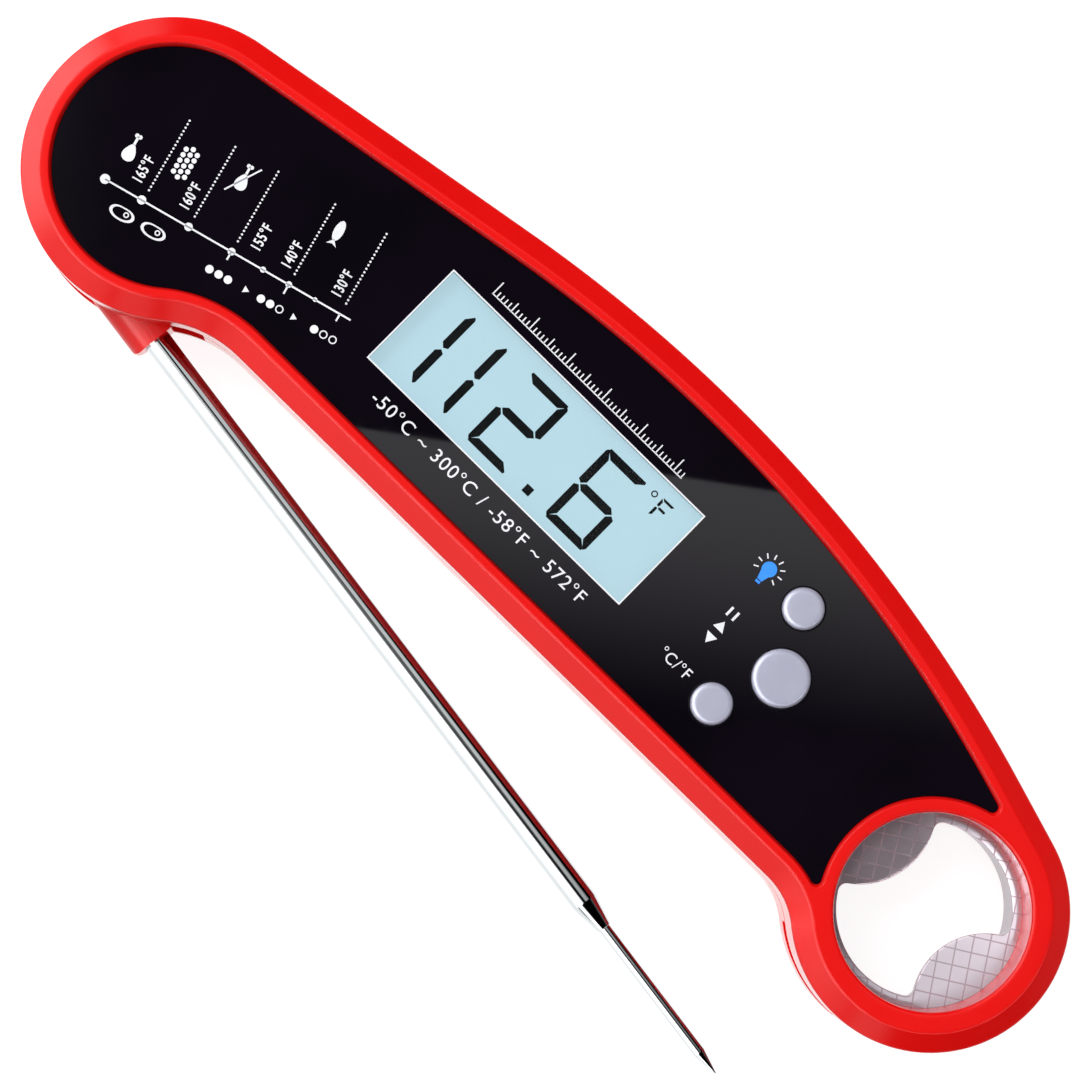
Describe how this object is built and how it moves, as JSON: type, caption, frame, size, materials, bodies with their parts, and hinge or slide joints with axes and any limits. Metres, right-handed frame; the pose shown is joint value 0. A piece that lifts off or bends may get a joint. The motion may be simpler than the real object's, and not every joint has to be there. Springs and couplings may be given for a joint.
{
  "type": "folding digital meat thermometer",
  "caption": "Folding probe thermometer: red two-part case, black panel with a lit display, domed buttons, swing-out steel probe and an opener ring.",
  "frame": {"origin": "where the probe's pivot axis meets the rear face", "axes": "+Z out of the display face; +X along the case from the pivot to the opener ring; +Y towards the crowned back edge"},
  "size_m": [0.1663, 0.0609, 0.0173],
  "materials": {
    "red_shell": "moulded ABS, semi-gloss",
    "black_panel": "gloss, back-printed",
    "clear_pane": "polished clear acrylic",
    "display_glass": "polished",
    "display_film": "satin film",
    "white_frame": "fine matt",
    "silver_buttons": "fine satin",
    "polished_steel": "mirror polish",
    "opener_steel": "fine cross-hatched",
    "plain_steel": "plain",
    "magnet_nickel": "nickel plate",
    "dark_rubber": "matt",
    "grey_silicone": "soft matt",
    "green_board": "solder mask",
    "black_chip": "epoxy",
    "reed_glass": "drawn glass",
    "sensor_epoxy": "epoxy drop",
    "lead_insulation": "insulation"
  },
  "bodies": {
    "case": {"backlight_guide": "clear_pane", "backlight_led": "white_frame", "battery_side_clip": "plain_steel", "battery_spring": "plain_steel", "board_passives": "black_chip", "case_leads": "lead_insulation", "case_screws": "plain_steel", "case_seal": "dark_rubber", "circuit_board": "green_board", "clock_crystal": "plain_steel", "coin_cell": "plain_steel", "controller_chip": "black_chip", "display_window": "clear_pane", "face_panel": "black_panel", "front_shell": "red_shell", "hold_dome": "grey_silicone", "hold_switch": "plain_steel", "lcd_frame": "white_frame", "lcd_front_glass": "display_glass", "lcd_polariser": "display_film", "lcd_rear_glass": "display_glass", "light_dome": "grey_silicone", "light_switch": "plain_steel", "opener_insert": "opener_steel", "pivot_bush": "plain_steel", "pivot_seals": "dark_rubber", "rear_magnets": "magnet_nickel", "rear_shell": "red_shell", "reed_switch": "reed_glass", "retaining_ring": "plain_steel", "unit_dome": "grey_silicone", "unit_switch": "plain_steel", "wave_washer": "plain_steel", "zebra_strips": "dark_rubber"},
    "probe": {"probe_hub": "red_shell", "hub_cover": "red_shell", "hub_magnet": "magnet_nickel", "probe_tube": "polished_steel", "probe_needle": "polished_steel", "thermistor_bead": "sensor_epoxy", "sensor_leads": "lead_insulation"},
    "light_button": {"light_button": "silver_buttons"},
    "hold_button": {"hold_button": "silver_buttons"},
    "unit_button": {"unit_button": "silver_buttons"},
    "battery_cover": {"battery_cover": "red_shell", "cover_seal": "dark_rubber"}
  },
  "joints": [
    {"name": "probe_fold", "type": "hinge", "parent": "case", "child": "probe", "pos_m": [0, 0, 0.0065], "axis": [0, 0, -1], "range_deg": [-8.2, 171.8]},
    {"name": "light_press", "type": "slide", "parent": "case", "child": "light_button", "axis": [0, 0, -1], "range_m": [0, 0.0005], "stiffness_N_per_m": 1500, "springref_m": -0.0002, "deforming": ["light_dome"]},
    {"name": "hold_press", "type": "slide", "parent": "case", "child": "hold_button", "axis": [0, 0, -1], "range_m": [0, 0.0005], "stiffness_N_per_m": 1500, "springref_m": -0.0002, "deforming": ["hold_dome"]},
    {"name": "unit_press", "type": "slide", "parent": "case", "child": "unit_button", "axis": [0, 0, -1], "range_m": [0, 0.0005], "stiffness_N_per_m": 1500, "springref_m": -0.0002, "deforming": ["unit_dome"]},
    {"name": "battery_cover_turn", "type": "hinge", "parent": "case", "child": "battery_cover", "pos_m": [0.0965, 0.006, 0], "axis": [0, 0, -1], "range_deg": [0, 50]}
  ]
}
